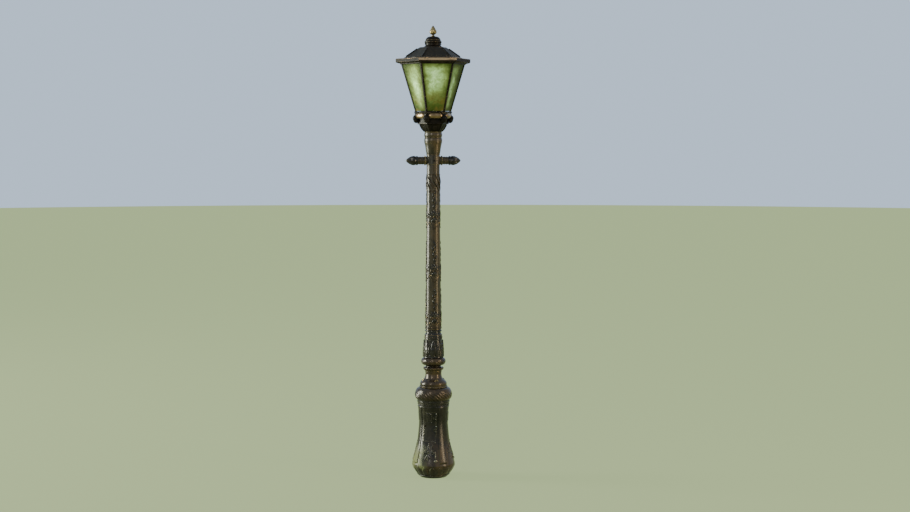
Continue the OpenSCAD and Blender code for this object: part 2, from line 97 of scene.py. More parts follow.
def add_stage():
    """An even pale sky, three soft lights and a round floor that glows a little."""
    world = bpy.data.worlds.new("soft_studio")
    bpy.context.scene.world = world
    world.use_nodes = True
    sky = world.node_tree.nodes["Background"]
    sky.inputs["Color"].default_value = (0.66, 0.82, 1.03, 1)
    sky.inputs["Strength"].default_value = 0.92
    middle = (0, 0, 2.0)
    add_area("key", (-5.2, -8.5, 5.6), middle, (1.0, 4), 320, (1, 0.95, 0.84))
    add_area("left_rim", (-14.8, 3.8, 2.8), middle, (5.4, 13), 9200, (0.98, 1, 0.84))
    add_area("right_warm", (6.2, -4.6, 3.0), middle, (1.5, 6), 380, (1, 0.80, 0.50))
    radius, sides = 57, 96
    mesh = bpy.data.meshes.new("floor")
    turns = [2 * math.pi * i / sides for i in range(sides)]
    rim = [(radius * math.cos(a), radius * math.sin(a), 0) for a in turns]
    mesh.from_pydata(rim, [], [tuple(range(sides))])
    floor = bpy.data.objects.new("floor", mesh)
    bpy.context.collection.objects.link(floor)
    paint = bpy.data.materials.new("pale_floor")
    paint.use_nodes = True
    shader = paint.node_tree.nodes["Principled BSDF"]
    shader.inputs["Base Color"].default_value = (0.05, 0.058, 0.036, 1)
    shader.inputs["Roughness"].default_value = 1.0
    shader.inputs["Specular IOR Level"].default_value = 0.0
    shader.inputs["Emission Color"].default_value = (0.44, 0.55, 0.27, 1)
    shader.inputs["Emission Strength"].default_value = 1.0
    mesh.materials.append(paint)


# ---- Materials ----

class Graph:
    """A material's node tree, with short calls for the nodes it is made of."""

    def __init__(self, name):
        self.material = bpy.data.materials.new(name)
        self.material.use_nodes = True
        self.tree = self.material.node_tree
        self.shader = self.tree.nodes["Principled BSDF"]
        place = self.tree.nodes.new("ShaderNodeTexCoord")
        self.place = place.outputs["Object"]
        self.normal = place.outputs["Normal"]

    def put(self, socket, value):
        if isinstance(value, bpy.types.NodeSocket):
            self.tree.links.new(value, socket)
        elif isinstance(value, tuple) and len(value) == 3 and socket.type == "RGBA":
            socket.default_value = (*value, 1)
        else:
            socket.default_value = value

    def node(self, kind, out=0, **values):
        made = self.tree.nodes.new(kind)
        for key, value in values.items():
            self.put(made.inputs[key.replace("_", " ")], value)
        return made.outputs[out]

    def stretched(self, scale, turn=(0, 0, 0)):
        return self.node("ShaderNodeMapping", Vector=self.place, Scale=scale, Rotation=turn)

    def noise(self, scale, detail=5.0, rough=0.6, at=None, warp=0.0):
        return self.node("ShaderNodeTexNoise", Vector=at or self.place, Scale=scale,
                         Detail=detail, Roughness=rough, Distortion=warp)

    def math(self, kind, a, b=0.0):
        made = self.tree.nodes.new("ShaderNodeMath")
        made.operation = kind
        self.put(made.inputs[0], a)
        self.put(made.inputs[1], b)
        return made.outputs[0]

    def span(self, value, low, high, to_low=0.0, to_high=1.0):
        made = self.tree.nodes.new("ShaderNodeMapRange")
        for key, put in zip(("Value", "From Min", "From Max", "To Min", "To Max"),
                            (value, low, high, to_low, to_high)):
            self.put(made.inputs[key], put)
        return made.outputs[0]

    def mix(self, share, a, b, blend="MIX"):
        made = self.tree.nodes.new("ShaderNodeMix")
        made.data_type = "RGBA"
        made.blend_type = blend
        self.put(made.inputs[0], share)
        self.put(made.inputs[6], a)
        self.put(made.inputs[7], b)
        return made.outputs[2]

    def edges(self, radius):
        """1 along worn edges and 0 on open faces."""
        made = self.tree.nodes.new("ShaderNodeBevel")
        made.samples = 6
        made.inputs["Radius"].default_value = radius
        flat = self.tree.nodes.new("ShaderNodeNewGeometry").outputs["Normal"]
        dot = self.tree.nodes.new("ShaderNodeVectorMath")
        dot.operation = "DOT_PRODUCT"
        self.tree.links.new(made.outputs[0], dot.inputs[0])
        self.tree.links.new(flat, dot.inputs[1])
        return self.span(dot.outputs["Value"], 0.985, 0.90)

    def facing(self, azimuth, low, high):
        """1 on the side of the post that looks towards azimuth, 0 from low down."""
        dot = self.tree.nodes.new("ShaderNodeVectorMath")
        dot.operation = "DOT_PRODUCT"
        self.tree.links.new(self.normal, dot.inputs[0])
        dot.inputs[1].default_value = level(azimuth)
        return self.span(dot.outputs["Value"], low, high)

    def hollows(self, reach):
        """1 in the open and 0 deep in a corner, the mask for painted shade."""
        made = self.tree.nodes.new("ShaderNodeAmbientOcclusion")
        made.samples = 6
        made.inputs["Distance"].default_value = reach
        return made.outputs["AO"]

    def bump(self, height, strength, reach):
        made = self.tree.nodes.new("ShaderNodeBump")
        made.inputs["Strength"].default_value = strength
        made.inputs["Distance"].default_value = reach
        self.tree.links.new(height, made.inputs["Height"])
        self.tree.links.new(made.outputs[0], self.shader.inputs["Normal"])

    def set(self, **values):
        for key, value in values.items():
            self.put(self.shader.inputs[key.replace("_", " ")], value)
        return self.material


def weathered(name, dark, light, wear_and_highlight_colour, moss, wear, moss_share, gloss, warm_highlight_share=0.5, warm_highlight_top=9.0,
              metal=0.15, shine=0.28, highlight_band=None):
    """Old painted metal: uneven paint, runs, bare metal on its edges, moss, and painted shade in
    its hollows.

    The side that faces azimuth -60 has a painted warm highlight below warm_highlight_top, and the
    foot of the shaded side has gone green. highlight_band is a low and high level, with a painted
    copper highlight on the front between.
    """
    g = Graph(name)
    height = g.node("ShaderNodeSeparateXYZ", out=2, Vector=g.place)
    cloud = g.span(g.noise(5, 7, 0.62, warp=0.5), 0.36, 0.66)
    runs = g.span(g.noise(3.0, 6, 0.62, at=g.stretched((11, 11, 0.7))), 0.40, 0.70)
    mottle = g.noise(38, 7, 0.72, warp=0.3)
    fine = g.noise(150, 4, 0.7)
    paint = g.mix(cloud, dark, light)
    paint = g.mix(g.math("MULTIPLY", g.span(mottle, 0.48, 0.66), 0.3), paint,
                  tuple(1.8 * c for c in light))
    # painted warm highlight: brown on the side that faces azimuth -60, fading out above
    # warm_highlight_top
    warm_highlight_mask = g.math("MULTIPLY", g.facing(-60, 0.35, 0.95),
                     g.span(g.noise(4.2, 6, 0.65, warp=0.8), 0.38, 0.60))
    warm_highlight_mask = g.math("MULTIPLY", warm_highlight_mask, g.span(height, warm_highlight_top, warm_highlight_top - 0.22))
    paint = g.mix(g.math("MULTIPLY", warm_highlight_mask, warm_highlight_share), paint, (0.090, 0.056, 0.022))
    paint = g.mix(g.math("MULTIPLY", runs, 0.55), paint, tuple(0.35 * c for c in dark))
    low = g.math("MAXIMUM", g.math("MULTIPLY", g.span(height, 0.32, 0.16),
                                   g.span(height, 0.07, 0.10)), 0.03)
    patches = g.span(g.noise(6.5, 8, 0.7, warp=0.7), 0.36, 0.52)
    growth = g.math("MULTIPLY", g.math("MULTIPLY", patches, low), g.facing(184, 0.45, 0.85))
    growth = g.math("MULTIPLY", growth, moss_share)
    paint = g.mix(growth, paint, moss)
    edge = g.math("MULTIPLY", g.edges(0.005), g.span(g.noise(21, 6, 0.65), 0.38, 0.60))
    flakes = g.math("MULTIPLY", g.span(g.noise(58, 8, 0.75), 0.62, 0.68), 0.4)
    wear_and_highlight = g.math("MULTIPLY", g.math("MAXIMUM", edge, flakes), wear)
    # painted copper highlight: patches on the front-facing side between highlight_band's two
    # levels
    if highlight_band:
        strip = g.math("MULTIPLY", g.span(height, highlight_band[0] - 0.002, highlight_band[0] + 0.002),
                       g.span(height, highlight_band[1] + 0.002, highlight_band[1] - 0.002))
        band_highlight = g.math("MULTIPLY", strip, g.span(g.noise(9, 6, 0.7), 0.30, 0.48))
        wear_and_highlight = g.math("MAXIMUM", wear_and_highlight, g.math("MULTIPLY", band_highlight,
                                                  g.facing(-90, 0.55, 0.97)))
    # painted shade: the colour is darkened in hollows and corners, down to 0.15 deep in them
    shade = g.span(g.hollows(0.03), 0.30, 0.95, 0.15, 1.0)
    colour = g.mix(wear_and_highlight, paint, wear_and_highlight_colour)
    colour = g.mix(1.0, colour, g.node("ShaderNodeCombineColor", Red=shade, Green=shade,
                                       Blue=shade), "MULTIPLY")
    g.bump(g.math("ADD", fine, g.math("MULTIPLY", mottle, 1.6)), 0.10, 0.0010)
    rough = g.math("ADD", g.span(mottle, 0.3, 0.7, gloss - 0.05, gloss + 0.12),
                   g.math("MULTIPLY", growth, 0.6))
    return g.set(Base_Color=colour, Metallic=g.span(wear_and_highlight, 0.0, 0.5, metal, 0.95),
                 Roughness=rough, Specular_IOR_Level=shine)


def pane_glass(name, facing, spot, spread, painted_glow_strength):
    """Mottled cathedral glass with fine scratches, and a painted glow as if lit from inside.

    spot is the middle of its painted pool of light, across from -1 to 1 and up from 0 to 1, and
    spread is the pool's reach. It has painted shade towards its sides, top and foot. The foot of
    the pane is olive and rusty.
    """
    g = Graph(name)
    low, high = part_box("glass_front")
    across = Vector((-math.sin(math.radians(facing)), math.cos(math.radians(facing)), 0))
    up = g.span(g.node("ShaderNodeSeparateXYZ", out=2, Vector=g.place), low.z, high.z)
    side = g.tree.nodes.new("ShaderNodeVectorMath")
    side.operation = "DOT_PRODUCT"
    g.tree.links.new(g.place, side.inputs[0])
    side.inputs[1].default_value = across
    wide = g.math("DIVIDE", side.outputs["Value"], g.span(up, 0, 1, 0.075, 0.130))
    cloud = g.noise(24, 9, 0.72, warp=0.6)
    ripple = g.noise(5, 5, 0.6, at=g.stretched((2, 2, 1)))
    drift = g.math("MULTIPLY", g.math("ADD", g.noise(6, 5, 0.6, warp=0.5), -0.5), 1.3)
    off = g.math("DIVIDE", g.math("ADD", g.math("ADD", wide, drift), -spot[0]), spread[0])
    rise = g.math("DIVIDE", g.math("ADD", g.math("ADD", up, g.math("MULTIPLY", drift, 0.4)),
                                   -spot[1]), spread[1])
    away = g.math("ADD", g.math("MULTIPLY", off, off), g.math("MULTIPLY", rise, rise))
    # painted light: a bright pool that fades away from spot
    painted_light_pool = g.math("POWER", 2.7183, g.math("MULTIPLY", away, -1.0))
    # painted shade: the pane is darker towards its sides, its top and its foot
    rim = g.math("MULTIPLY", g.span(g.math("ABSOLUTE", wide), 1.02, 0.80, 0.45, 1.0),
                 g.math("MULTIPLY", g.span(up, -0.02, 0.12, 0.5, 1.0),
                        g.span(up, 1.0, 0.90, 0.55, 1.0)))
    scratch = g.noise(15, 7, 0.8, at=g.stretched((22, 22, 1.6), (0.0, 0.72, 0.0)))
    cross = g.noise(16, 7, 0.8, at=g.stretched((26, 26, 1.8), (0.0, -0.95, 0.0)))
    lines = g.math("SUBTRACT", g.span(scratch, 0.56, 0.68), g.span(cross, 0.56, 0.68))
    shade = g.math("ADD", g.math("MULTIPLY", painted_light_pool, g.span(cloud, 0.3, 0.7, 0.50, 0.80)),
                   g.span(cloud, 0.3, 0.7, 0.12, 0.28))
    shade = g.math("ADD", g.math("MULTIPLY", shade, rim), g.math("MULTIPLY", lines, 0.12))
    ramp = g.tree.nodes.new("ShaderNodeValToRGB")
    g.tree.links.new(shade, ramp.inputs[0])
    stops = [(0.0, (0.012, 0.022, 0.003)), (0.25, (0.050, 0.078, 0.012)),
             (0.50, (0.165, 0.235, 0.060)), (0.75, (0.35, 0.58, 0.19)), (1.0, (0.68, 1.06, 0.47))]
    while len(ramp.color_ramp.elements) < len(stops):
        ramp.color_ramp.elements.new(0.5)
    for element, (at, colour) in zip(ramp.color_ramp.elements, stops):
        element.position = at
        element.color = (*colour, 1)
    rust = g.math("MULTIPLY", g.span(up, 0.45, 0.05), g.span(g.noise(8, 5), 0.46, 0.62))
    colour = g.mix(g.math("MULTIPLY", rust, 0.5), ramp.outputs[0], (0.20, 0.13, 0.025))
    g.bump(g.math("ADD", cloud, ripple), 0.6, 0.003)
    # the glass glows with painted light through its emission
    return g.set(Base_Color=g.mix(0.8, colour, (0.0, 0.0, 0.0)), Roughness=0.34, IOR=1.45,
                 Specular_IOR_Level=0.05, Emission_Color=colour, Emission_Strength=painted_glow_strength)


def plain(name, colour, rough, metal=0.0, speckle=0.12, scale=60):
    """A clean shop finish with a slight unevenness in colour and gloss."""
    g = Graph(name)
    grain = g.noise(scale, 5, 0.6)
    darker = tuple(c * (1 - 2 * speckle) for c in colour)
    g.bump(grain, 0.15, 0.0006)
    return g.set(Base_Color=g.mix(g.span(grain, 0.35, 0.65), darker, colour),
                 Roughness=g.span(grain, 0.3, 0.7, rough - 0.05, rough + 0.08), Metallic=metal)


def board_wood():
    """Varnished plywood with its grain upright."""
    g = Graph("board_wood")
    rings = g.noise(6, 6, 0.6, at=g.stretched((6, 30, 1.2)), warp=1.5)
    g.bump(rings, 0.3, 0.0008)
    return g.set(Base_Color=g.mix(g.span(rings, 0.35, 0.65), (0.20, 0.11, 0.05),
                                  (0.42, 0.27, 0.14)), Roughness=0.5)


def lamp_shell():
    """The opal glass of a lamp that is switched on."""
    g = Graph("lamp_shell")
    frost = g.noise(40, 3)
    return g.set(Base_Color=g.mix(frost, (0.95, 0.90, 0.76), (1.0, 0.96, 0.86)),
                 Roughness=0.35, Emission_Color=(1.0, 0.9, 0.66), Emission_Strength=2.5)


COPPER = (0.60, 0.33, 0.15)
GOLD = (0.66, 0.50, 0.24)
PALE_METAL = (0.46, 0.42, 0.30)
MOSS = (0.105, 0.118, 0.034)
looks = {
    "dark_iron": weathered("dark_iron", (0.007, 0.006, 0.0048), (0.020, 0.0165, 0.0115),
                           PALE_METAL, MOSS, wear=0.4, moss_share=1.0, warm_highlight_share=0.85, warm_highlight_top=0.46,
                           gloss=0.20),
    "shaft_iron": weathered("shaft_iron", (0.014, 0.0125, 0.008), (0.034, 0.028, 0.018),
                            GOLD, MOSS, wear=0.5, moss_share=0.6, gloss=0.25, warm_highlight_share=0.75),
    "bronzed_iron": weathered("bronzed_iron", (0.009, 0.007, 0.005), (0.036, 0.025, 0.014),
                              GOLD, MOSS, wear=0.7, moss_share=0.4, gloss=0.22, warm_highlight_share=0.75,
                              metal=0.3),
    "rubbed_copper": weathered("rubbed_copper", (0.10, 0.062, 0.030), (0.30, 0.20, 0.10),
                               COPPER, MOSS, wear=0.9, moss_share=0.2, gloss=0.20, metal=0.7),
    "black_iron": weathered("black_iron", (0.0035, 0.003, 0.0025), (0.009, 0.0075, 0.0055),
                            (0.12, 0.09, 0.055), MOSS, wear=0.25, moss_share=0.3, gloss=0.34,
                            warm_highlight_share=0.15, metal=0.0, shine=0.06),
    # its highlight_band paints a copper highlight along the front of the cornice's top
    "cornice_iron": weathered("cornice_iron", (0.0035, 0.003, 0.0025), (0.010, 0.009, 0.006),
                              (0.36, 0.25, 0.155), MOSS, wear=0.3, moss_share=0.5, gloss=0.45,
                              warm_highlight_share=0.15, metal=0.0, shine=0.05,
                              highlight_band=(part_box("cornice")[1].z - 0.023,
                                    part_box("cornice")[1].z - 0.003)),
    "patinated_sheet": weathered("patinated_sheet", (0.006, 0.0055, 0.0035),
                                 (0.017, 0.015, 0.009), (0.10, 0.08, 0.04),
                                 (0.045, 0.065, 0.022), wear=0.35, moss_share=1.0, gloss=0.5,
                                 warm_highlight_share=0.3, metal=0.0, shine=0.10),
    "worn_stud": weathered("worn_stud", (0.035, 0.032, 0.022), (0.13, 0.12, 0.085), PALE_METAL,
                           MOSS, wear=0.5, moss_share=0.3, gloss=0.34, metal=0.2),
    "gilt_brass": weathered("gilt_brass", (0.13, 0.095, 0.035), (0.42, 0.32, 0.14), GOLD,
                            (0.10, 0.09, 0.03), wear=0.8, moss_share=0.3, gloss=0.24,
                            metal=0.8),
    "white_enamel": plain("white_enamel", (0.82, 0.82, 0.78), 0.22),
    "steel": plain("zinc_steel", (0.42, 0.42, 0.41), 0.38, 0.9),
    "porcelain": plain("porcelain", (0.84, 0.82, 0.76), 0.18, speckle=0.04),
    "lamp_brass": plain("lamp_brass", (0.66, 0.49, 0.24), 0.3, 1.0),
    "lamp_glass": lamp_shell(),
    "cable_sheath": plain("cable_sheath", (0.03, 0.03, 0.032), 0.55),
    "board_wood": board_wood(),
    "grey_moulding": plain("grey_moulding", (0.22, 0.23, 0.24), 0.5),
    "red_moulding": plain("red_moulding", (0.45, 0.06, 0.05), 0.42),
}
# Each pane's facing, the middle of its painted pool of light, its reach, and how strongly it glows
# with painted light
panes = {
    "glass_front": (270, (-0.10, 0.74), (0.95, 0.42), 0.95),
    "glass_front_left": (210, (0.10, 0.52), (0.62, 0.50), 1.7),
    "glass_front_right": (330, (-0.35, 0.50), (0.7, 0.6), 0.30),
    "glass_rear_left": (150, (0.1, 0.55), (0.9, 0.6), 1.0),
    "glass_rear_right": (30, (0.0, 0.60), (0.9, 0.6), 0.6),
    "lantern_door_glass": (90, (0.0, 0.60), (0.9, 0.5), 0.85),
}
# Nodes whose finish differs from the plain look of their slot
finishes = {
    "bell": "bronzed_iron", "cornice": "cornice_iron",
    **dict.fromkeys(("shaft", "capital", "ladder_bar"), "shaft_iron"),
    **dict.fromkeys(("lantern_cradle", "gallery_ring", "gallery_bosses", "sill_ring", "rib_set",
                     "head_ring", "roof_hips", "vent_neck", "vent_collar", "vent_dome",
                     "collar_knobs", "lock_barrel", "ladder_bar_screws"), "black_iron"),
}


def paint_cad():
    """Every carried-over CAD node takes its slot's finish, or the one named for it."""
    slots = {row["node"]: row["material_slot"] for row in frame["record"]["subparts"]}
    for name, node in nodes.items():
        finish = (pane_glass("pane_" + name, *panes[name]) if name in panes
                  else looks[finishes.get(name, slots[name])])
        node.data.materials.clear()
        node.data.materials.append(finish)


# ---- Mesh tools ----

def add_mesh(name, verts, faces, look, body=BASE, slot=None):
    """A visible piece that rides on body; slot is not used."""
    mesh = bpy.data.meshes.new(name)
    mesh.from_pydata([tuple(v) for v in verts], [], faces)
    mesh.validate()
    work = bmesh.new()
    work.from_mesh(mesh)
    bmesh.ops.remove_doubles(work, verts=work.verts, dist=1e-6)
    bmesh.ops.recalc_face_normals(work, faces=work.faces)
    work.to_mesh(mesh)
    work.free()
    mesh.polygons.foreach_set("use_smooth", [True] * len(mesh.polygons))
    mesh.materials.append(looks[look])
    piece = bpy.data.objects.new(name, mesh)
    bpy.context.collection.objects.link(piece)
    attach(piece, body)
    slot or look
    return piece


def joined(parts):
    """Vertices and faces of several pieces as one list of each."""
    verts, faces = [], []
    for more, shape in parts:
        base = len(verts)
        verts += list(more)
        faces += [tuple(i + base for i in face) for face in shape]
    return verts, faces


def grid_faces(rows, columns, closed=False):
    """The faces between rows of points; closed joins each row's last point to its first."""
    across = columns if closed else columns - 1
    return [(r * columns + c, r * columns + (c + 1) % columns,
             (r + 1) * columns + (c + 1) % columns, (r + 1) * columns + c)
            for r in range(rows - 1) for c in range(across)]


class Skin:
    """The outer surface of CAD nodes round an axis, found by casting rays at it."""

    def __init__(self, names, origin=(0, 0, 0), axis=(0, 0, 1)):
        trees = []
        for name in names:
            mesh = nodes[name].data
            trees.append(BVHTree.FromPolygons([v.co.copy() for v in mesh.vertices],
                                              [tuple(p.vertices) for p in mesh.polygons]))
        self.trees = trees
        turn = Vector(axis).to_track_quat("Z", "Y").to_matrix().to_4x4()
        self.to_world = Matrix.Translation(Vector(origin)) @ (
            Matrix.Identity(4) if Vector(axis) == UP else turn)

    def radius(self, azimuth, height, default=0.0):
        """Distance from the axis to the skin, azimuth in degrees and height along the axis."""
        out = level(azimuth)
        start = self.to_world @ (out * REACH + UP * height)
        way = self.to_world.to_3x3() @ -out
        hits = [tree.ray_cast(start, way, REACH)[3] for tree in self.trees]
        hits = [h for h in hits if h is not None]
        return REACH - min(hits) if hits else default

    def point(self, azimuth, height, radius):
        a = math.radians(azimuth)
        return self.to_world @ Vector((radius * math.cos(a), radius * math.sin(a), height))

    def on(self, azimuth, height, lift=0.0):
        return self.point(azimuth, height, self.radius(azimuth, height) + lift)


def patch(skin, place, lift, rows, columns):
    """A closed raised patch: place(s, t) gives azimuth and height, lift(s, t) its thickness."""
    top, back = [], []
    for i in range(rows):
        for j in range(columns):
            s, t = 2 * j / (columns - 1) - 1, i / (rows - 1)
            azimuth, height = place(s, t)
            radius = skin.radius(azimuth, height)
            top.append(skin.point(azimuth, height, radius + lift(s, t)))
            back.append(skin.point(azimuth, height, radius - SINK))
    count = rows * columns
    faces = grid_faces(rows, columns)
    faces += [tuple(i + count for i in reversed(f)) for f in grid_faces(rows, columns)]
    rim = ([j for j in range(columns)] + [i * columns + columns - 1 for i in range(1, rows)]
           + [(rows - 1) * columns + j for j in range(columns - 2, -1, -1)]
           + [i * columns for i in range(rows - 2, 0, -1)])
    faces += [(a, b, b + count, a + count) for a, b in zip(rim, rim[1:] + rim[:1])]
    return top + back, faces


def tube(points, radius, sides=8, closed=False):
    """A round tube along points, with a rounded end where it isn't closed; radius may vary."""
    points = [Vector(p) for p in points]
    n = len(points)
    radii = [radius(i / (n - 1)) if callable(radius) else radius for i in range(n)]
    verts, side = [], None
    for i, p in enumerate(points):
        before = points[(i - 1) % n] if closed or i else p
        after = points[(i + 1) % n] if closed or i < n - 1 else p
        along = (after - before).normalized()
        if side is None:
            side = along.orthogonal().normalized()
        side = (side - along * side.dot(along)).normalized()
        other = along.cross(side)
        for k in range(sides):
            a = 2 * math.pi * k / sides
            verts.append(p + (side * math.cos(a) + other * math.sin(a)) * radii[i])
    faces = grid_faces(n, sides, closed=True)
    if closed:
        last = (n - 1) * sides
        faces += [(last + k, last + (k + 1) % sides, (k + 1) % sides, k) for k in range(sides)]
    else:
        faces += [tuple(reversed(range(sides))), tuple((n - 1) * sides + k for k in range(sides))]
    return verts, faces


def dome(centre, out, radius, height, rings, sides, sink=SINK):
    """A closed round-headed stud standing on a surface."""
    out = Vector(out).normalized()
    side = out.orthogonal().normalized()
    other = out.cross(side)
    centre = Vector(centre)
    verts = [centre + (side * math.cos(a) + other * math.sin(a)) * radius - out * sink
             for a in (2 * math.pi * k / sides for k in range(sides))]
    for i in range(rings):
        lean = math.radians(90 * i / rings)
        for k in range(sides):
            a = 2 * math.pi * k / sides
            verts.append(centre + (side * math.cos(a) + other * math.sin(a)) * radius
                         * math.cos(lean) + out * height * math.sin(lean))
    verts.append(centre + out * height)
    faces = grid_faces(rings + 1, sides, closed=True)
    last, tip = rings * sides, len(verts) - 1
    faces += [(last + k, last + (k + 1) % sides, tip) for k in range(sides)]
    faces.append(tuple(reversed(range(sides))))
    return verts, faces


def carved(name, node, look, change, steps, sides, bore, skin=None, span=None, slot=None):
    """Stands for a turned CAD node: its own outline, carved by change(azimuth, t, radius).

    bore is the radius of its hole. span is its reach along the skin's axis, and the outline
    is read from just inside both ends.
    """
    skin = skin or Skin([node])
    low, high = span or (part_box(node)[0].z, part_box(node)[1].z)
    margin = 2e-5
    verts = []
    for i in range(steps):
        t = i / (steps - 1)
        height = low + margin + (high - low - 2 * margin) * t
        plain_r = skin.radius(OFF_SEAM, height, bore)
        for k in range(sides):
            azimuth = 360 * k / sides
            verts.append(skin.point(azimuth, height, max(bore, change(azimuth, t, plain_r))))
    for height in (high, low):
        verts += [skin.point(360 * k / sides, height, bore) for k in range(sides)]
    faces = grid_faces(steps + 2, sides, closed=True)
    last = (steps + 1) * sides
    faces += [(last + k, last + (k + 1) % sides, (k + 1) % sides, k) for k in range(sides)]
    piece = add_mesh(name, verts, faces, look, slot=slot)
    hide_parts(node)
    return piece


def bump_of(x, width):
    """A smooth rise and fall of height 1 and half width width, 0 outside."""
    return 0.5 + 0.5 * math.cos(math.pi * min(abs(x) / width, 1.0))


# ---- Ornament shapes ----

def add_parts(name, parts, look, body=BASE, slot=None):
    """Several ornaments as one visible piece."""
    add_mesh(name, *joined(parts), look, body, slot)


def ring(skin, height, radius, steps=72):
    """A round moulding that goes once round the skin."""
    return tube([skin.on(360 * k / steps, height) for k in range(steps)], radius, closed=True)


def beads(skin, height, radius, count, lift=0.0):
    """A row of round studs round the skin."""
    return [dome(skin.on(a, height, lift), level(a), radius, 0.8 * radius, 4, 10)
            for a in (360 * k / count for k in range(count))]


def frame_on(skin, azimuth, half_angle, low, high, radius, corner):
    """A rectangular moulding with round corners, bent round the skin."""
    mid = (low + high) / 2
    r = skin.radius(azimuth, mid)
    half_w, half_h = math.radians(half_angle) * r, (high - low) / 2
    points, steps = [], 5
    for quarter, (sx, sy) in enumerate([(1, 1), (-1, 1), (-1, -1), (1, -1)]):
        for i in range(steps + 1):
            a = math.radians(90 * (quarter + i / steps))
            u = sx * (half_w - corner) + corner * math.cos(a)
            w = sy * (half_h - corner) + corner * math.sin(a)
            points.append((u, w))
    dense = []
    for (u0, w0), (u1, w1) in zip(points, points[1:] + points[:1]):
        count = max(1, int(math.hypot(u1 - u0, w1 - w0) / 0.012))
        dense += [(u0 + (u1 - u0) * i / count, w0 + (w1 - w0) * i / count) for i in range(count)]
    return tube([skin.on(azimuth + math.degrees(u / r), mid + w) for u, w in dense],
                radius, 8, closed=True)


def leaf(skin, azimuth, height, lean, length, width, rise, bend=0.0, curl=0.0, rows=11,
         columns=7):
    """A leaf laid on the skin with its stalk at azimuth, height; lean turns it off upright."""
    r = skin.radius(azimuth, height)

    def place(s, t):
        a = math.radians(lean + bend * t)
        notch = 1 - 0.16 * abs(math.sin(3.5 * math.pi * t))
        half = width * (0.04 + 0.96 * math.sin(math.pi * (0.12 + 0.88 * t)) ** 0.8) * notch
        u = math.sin(a) * length * t + math.cos(a) * half * s
        w = math.cos(a) * length * t - math.sin(a) * half * s
        return azimuth + math.degrees(u / r), height + w

    def lift(s, t):
        swell = 0.35 + 0.65 * math.sin(math.pi * min(1.0, 0.15 + 0.8 * t))
        vein = 0.45 * bump_of(s, 0.22)
        return rise * swell * (1 - 0.7 * s * s - vein) + curl * t ** 3

    return patch(skin, place, lift, rows, columns)


def scroll(skin, azimuth, height, size, hand, thick=0.0035):
    """A C-scroll that winds inwards from its foot; hand is 1 or -1."""
    r = skin.radius(azimuth, height)
    steps, turns = 26, 1.3
    points = []
    for i in range(steps):
        t = i / (steps - 1)
        a = math.radians(-90) + 2 * math.pi * turns * t
        reach = size * (1 - 0.78 * t)
        u, w = hand * reach * math.cos(a), reach * math.sin(a)
        points.append(skin.on(azimuth + math.degrees(u / r), height + w, 0.0006))
    return tube(points, lambda t: thick * (1.15 - 0.45 * t), 7)


def bolster(centre, out, half_length, half_height, depth):
    """A rounded cushion, level and square to out."""
    rows, sides = 17, 20
    out = Vector(out).normalized()
    along = UP.cross(out).normalized()
    up = out.cross(along)
    verts = []
    for i in range(rows):
        x = math.sin(math.pi / 2 * (2 * i / (rows - 1) - 1))
        size = max(0.02, (1 - abs(x) ** 3.2) ** 0.5)
        for k in range(sides):
            a = 2 * math.pi * k / sides
            verts.append(Vector(centre) + along * half_length * x
                         + up * half_height * size * math.sin(a)
                         + out * depth * size * math.cos(a))
    faces = grid_faces(rows, sides, closed=True)
    faces += [tuple(reversed(range(sides))), tuple((rows - 1) * sides + k for k in range(sides))]
    return verts, faces


def hexagon(radius, height):
    """The corners of a level hexagon, in line with the lantern's ribs."""
    return [Vector((radius * math.cos(math.radians(60 * k)),
                    radius * math.sin(math.radians(60 * k)), height)) for k in range(6)]


def six_sided_roll(corner, height, radius, sides=8):
    """A round moulding that goes once round the lantern, corner away from its middle."""
    return tube(hexagon(corner, height), radius, sides, closed=True)


# ---- Pedestal ----

RIB_AZIMUTHS = [DOOR_AZ + 45 + 90 * k for k in range(4)]
PANEL_AZIMUTHS = [DOOR_AZ + 90 * k for k in (1, 2, 3)]


